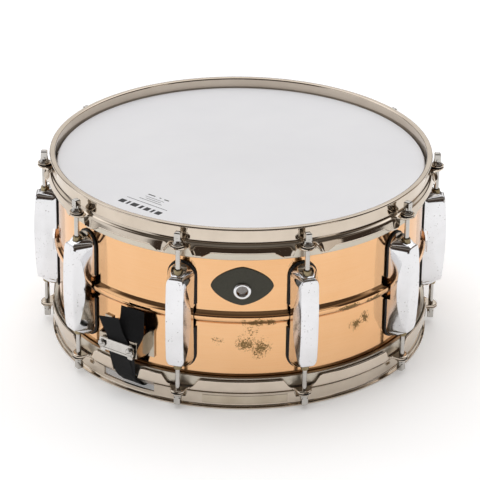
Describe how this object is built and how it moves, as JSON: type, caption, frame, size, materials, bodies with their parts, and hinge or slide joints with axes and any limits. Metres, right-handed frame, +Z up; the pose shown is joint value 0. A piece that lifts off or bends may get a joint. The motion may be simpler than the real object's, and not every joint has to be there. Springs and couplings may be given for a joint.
{
  "type": "snare drum",
  "caption": "Metal-shell snare drum with double-ended tube lugs, triple-flanged hoops, coated batter head, beaded shell, oval badge, strap-held snare wires and lever throw-off.",
  "frame": {"origin": "centre of the drum on the plane of the bottom hoop's rim", "axes": "+Z up along the shell's axis, -Y out through the badge and vent, +X to the right of the badge"},
  "size_m": [0.4034, 0.389, 0.186],
  "materials": {
    "polished_bronze": "polished, with dark tarnish speckles",
    "chrome_plate": "polished chrome, slightly pitted",
    "nickel_plate": "warm polished nickel",
    "zinc_steel": "bright zinc plate",
    "satin_aluminium": "satin",
    "coated_film": "rough white coating",
    "clear_film": "thin hazy film",
    "badge_paint": "satin dark olive enamel",
    "black_ribbon": "woven ribbon"
  },
  "bodies": {
    "drum": {"shell": "polished_bronze", "batter_head": "coated_film", "batter_flesh_hoop": "satin_aluminium", "top_hoop": "nickel_plate", "badge": "badge_paint", "vent_grommet": "chrome_plate", "resonant_head": "clear_film", "resonant_flesh_hoop": "satin_aluminium", "bottom_hoop": "nickel_plate", "lug_01": "chrome_plate", "lug_02": "chrome_plate", "lug_03": "chrome_plate", "lug_04": "chrome_plate", "lug_05": "chrome_plate", "lug_06": "chrome_plate", "lug_07": "chrome_plate", "lug_08": "chrome_plate", "lug_09": "chrome_plate", "lug_10": "chrome_plate", "butt_bracket": "chrome_plate", "butt_clamp_plate": "chrome_plate", "butt_clamp_screw_left": "zinc_steel", "butt_clamp_screw_right": "zinc_steel", "butt_mounting_screw_left": "zinc_steel", "butt_mounting_screw_right": "zinc_steel", "butt_strap": "black_ribbon", "throwoff_base": "chrome_plate", "throwoff_pivot_pin": "zinc_steel", "throwoff_mounting_screw_lower": "zinc_steel", "throwoff_mounting_screw_upper": "zinc_steel", "throwoff_strap": "black_ribbon"},
    "top_tension_rod_01": {"top_tension_rod_01": "nickel_plate"},
    "top_tension_rod_02": {"top_tension_rod_02": "nickel_plate"},
    "top_tension_rod_03": {"top_tension_rod_03": "nickel_plate"},
    "top_tension_rod_04": {"top_tension_rod_04": "nickel_plate"},
    "top_tension_rod_05": {"top_tension_rod_05": "nickel_plate"},
    "top_tension_rod_06": {"top_tension_rod_06": "nickel_plate"},
    "top_tension_rod_07": {"top_tension_rod_07": "nickel_plate"},
    "top_tension_rod_08": {"top_tension_rod_08": "nickel_plate"},
    "top_tension_rod_09": {"top_tension_rod_09": "nickel_plate"},
    "top_tension_rod_10": {"top_tension_rod_10": "nickel_plate"},
    "bottom_tension_rod_01": {"bottom_tension_rod_01": "nickel_plate"},
    "bottom_tension_rod_02": {"bottom_tension_rod_02": "nickel_plate"},
    "bottom_tension_rod_03": {"bottom_tension_rod_03": "nickel_plate"},
    "bottom_tension_rod_04": {"bottom_tension_rod_04": "nickel_plate"},
    "bottom_tension_rod_05": {"bottom_tension_rod_05": "nickel_plate"},
    "bottom_tension_rod_06": {"bottom_tension_rod_06": "nickel_plate"},
    "bottom_tension_rod_07": {"bottom_tension_rod_07": "nickel_plate"},
    "bottom_tension_rod_08": {"bottom_tension_rod_08": "nickel_plate"},
    "bottom_tension_rod_09": {"bottom_tension_rod_09": "nickel_plate"},
    "bottom_tension_rod_10": {"bottom_tension_rod_10": "nickel_plate"},
    "throwoff_lever": {"throwoff_lever": "chrome_plate"},
    "throwoff_carriage": {"throwoff_carriage": "zinc_steel", "throwoff_clamp_plate": "chrome_plate", "throwoff_clamp_screw_left": "zinc_steel", "throwoff_clamp_screw_right": "zinc_steel"},
    "throwoff_tension_knob": {"throwoff_tension_knob": "chrome_plate"},
    "snare_wires": {"snare_wires": "zinc_steel"}
  },
  "joints": [
    {"name": "top_tension_rod_01_turn", "type": "hinge", "parent": "drum", "child": "top_tension_rod_01", "pos_m": [0.05887, -0.18118, 0.176], "axis": [0, 0, 1], "range_deg": [-180, 1080]},
    {"name": "top_tension_rod_02_turn", "type": "hinge", "parent": "drum", "child": "top_tension_rod_02", "pos_m": [0.15412, -0.11197, 0.176], "axis": [0, 0, 1], "range_deg": [-180, 1080]},
    {"name": "top_tension_rod_03_turn", "type": "hinge", "parent": "drum", "child": "top_tension_rod_03", "pos_m": [0.1905, 0, 0.176], "axis": [0, 0, 1], "range_deg": [-180, 1080]},
    {"name": "top_tension_rod_04_turn", "type": "hinge", "parent": "drum", "child": "top_tension_rod_04", "pos_m": [0.15412, 0.11197, 0.176], "axis": [0, 0, 1], "range_deg": [-180, 1080]},
    {"name": "top_tension_rod_05_turn", "type": "hinge", "parent": "drum", "child": "top_tension_rod_05", "pos_m": [0.05887, 0.18118, 0.176], "axis": [0, 0, 1], "range_deg": [-180, 1080]},
    {"name": "top_tension_rod_06_turn", "type": "hinge", "parent": "drum", "child": "top_tension_rod_06", "pos_m": [-0.05887, 0.18118, 0.176], "axis": [0, 0, 1], "range_deg": [-180, 1080]},
    {"name": "top_tension_rod_07_turn", "type": "hinge", "parent": "drum", "child": "top_tension_rod_07", "pos_m": [-0.15412, 0.11197, 0.176], "axis": [0, 0, 1], "range_deg": [-180, 1080]},
    {"name": "top_tension_rod_08_turn", "type": "hinge", "parent": "drum", "child": "top_tension_rod_08", "pos_m": [-0.1905, 0, 0.176], "axis": [0, 0, 1], "range_deg": [-180, 1080]},
    {"name": "top_tension_rod_09_turn", "type": "hinge", "parent": "drum", "child": "top_tension_rod_09", "pos_m": [-0.15412, -0.11197, 0.176], "axis": [0, 0, 1], "range_deg": [-180, 1080]},
    {"name": "top_tension_rod_10_turn", "type": "hinge", "parent": "drum", "child": "top_tension_rod_10", "pos_m": [-0.05887, -0.18118, 0.176], "axis": [0, 0, 1], "range_deg": [-180, 1080]},
    {"name": "bottom_tension_rod_01_turn", "type": "hinge", "parent": "drum", "child": "bottom_tension_rod_01", "pos_m": [0.05887, -0.18118, 0.01], "axis": [0, 0, -1], "range_deg": [-180, 1080]},
    {"name": "bottom_tension_rod_02_turn", "type": "hinge", "parent": "drum", "child": "bottom_tension_rod_02", "pos_m": [0.15412, -0.11197, 0.01], "axis": [0, 0, -1], "range_deg": [-180, 1080]},
    {"name": "bottom_tension_rod_03_turn", "type": "hinge", "parent": "drum", "child": "bottom_tension_rod_03", "pos_m": [0.1905, 0, 0.01], "axis": [0, 0, -1], "range_deg": [-180, 1080]},
    {"name": "bottom_tension_rod_04_turn", "type": "hinge", "parent": "drum", "child": "bottom_tension_rod_04", "pos_m": [0.15412, 0.11197, 0.01], "axis": [0, 0, -1], "range_deg": [-180, 1080]},
    {"name": "bottom_tension_rod_05_turn", "type": "hinge", "parent": "drum", "child": "bottom_tension_rod_05", "pos_m": [0.05887, 0.18118, 0.01], "axis": [0, 0, -1], "range_deg": [-180, 1080]},
    {"name": "bottom_tension_rod_06_turn", "type": "hinge", "parent": "drum", "child": "bottom_tension_rod_06", "pos_m": [-0.05887, 0.18118, 0.01], "axis": [0, 0, -1], "range_deg": [-180, 1080]},
    {"name": "bottom_tension_rod_07_turn", "type": "hinge", "parent": "drum", "child": "bottom_tension_rod_07", "pos_m": [-0.15412, 0.11197, 0.01], "axis": [0, 0, -1], "range_deg": [-180, 1080]},
    {"name": "bottom_tension_rod_08_turn", "type": "hinge", "parent": "drum", "child": "bottom_tension_rod_08", "pos_m": [-0.1905, 0, 0.01], "axis": [0, 0, -1], "range_deg": [-180, 1080]},
    {"name": "bottom_tension_rod_09_turn", "type": "hinge", "parent": "drum", "child": "bottom_tension_rod_09", "pos_m": [-0.15412, -0.11197, 0.01], "axis": [0, 0, -1], "range_deg": [-180, 1080]},
    {"name": "bottom_tension_rod_10_turn", "type": "hinge", "parent": "drum", "child": "bottom_tension_rod_10", "pos_m": [-0.05887, -0.18118, 0.01], "axis": [0, 0, -1], "range_deg": [-180, 1080]},
    {"name": "throwoff_lever_swing", "type": "hinge", "parent": "drum", "child": "throwoff_lever", "pos_m": [0.11462, 0.15776, 0.105], "axis": [-0.809, 0.5878, 0], "range_deg": [0, 90]},
    {"name": "throwoff_carriage_slide", "type": "slide", "parent": "drum", "child": "throwoff_carriage", "axis": [0, 0, -1], "range_m": [0, 0.006]},
    {"name": "snare_wires_drop", "type": "hinge", "parent": "drum", "child": "snare_wires", "pos_m": [-0.08817, -0.12135, 0.0082], "axis": [-0.809, 0.5878, 0], "range_deg": [0, 0.6]},
    {"name": "throwoff_tension_knob_turn", "type": "hinge", "parent": "drum", "child": "throwoff_tension_knob", "pos_m": [0.10851, 0.14935, 0.1325], "axis": [0, 0, 1], "range_deg": [-720, 720]}
  ],
  "couplings": [
    {"joint": "throwoff_carriage_slide", "follows": "throwoff_lever_swing", "m_per_rad": 0.0038196},
    {"joint": "snare_wires_drop", "follows": "throwoff_lever_swing", "ratio": 0.0066657}
  ]
}
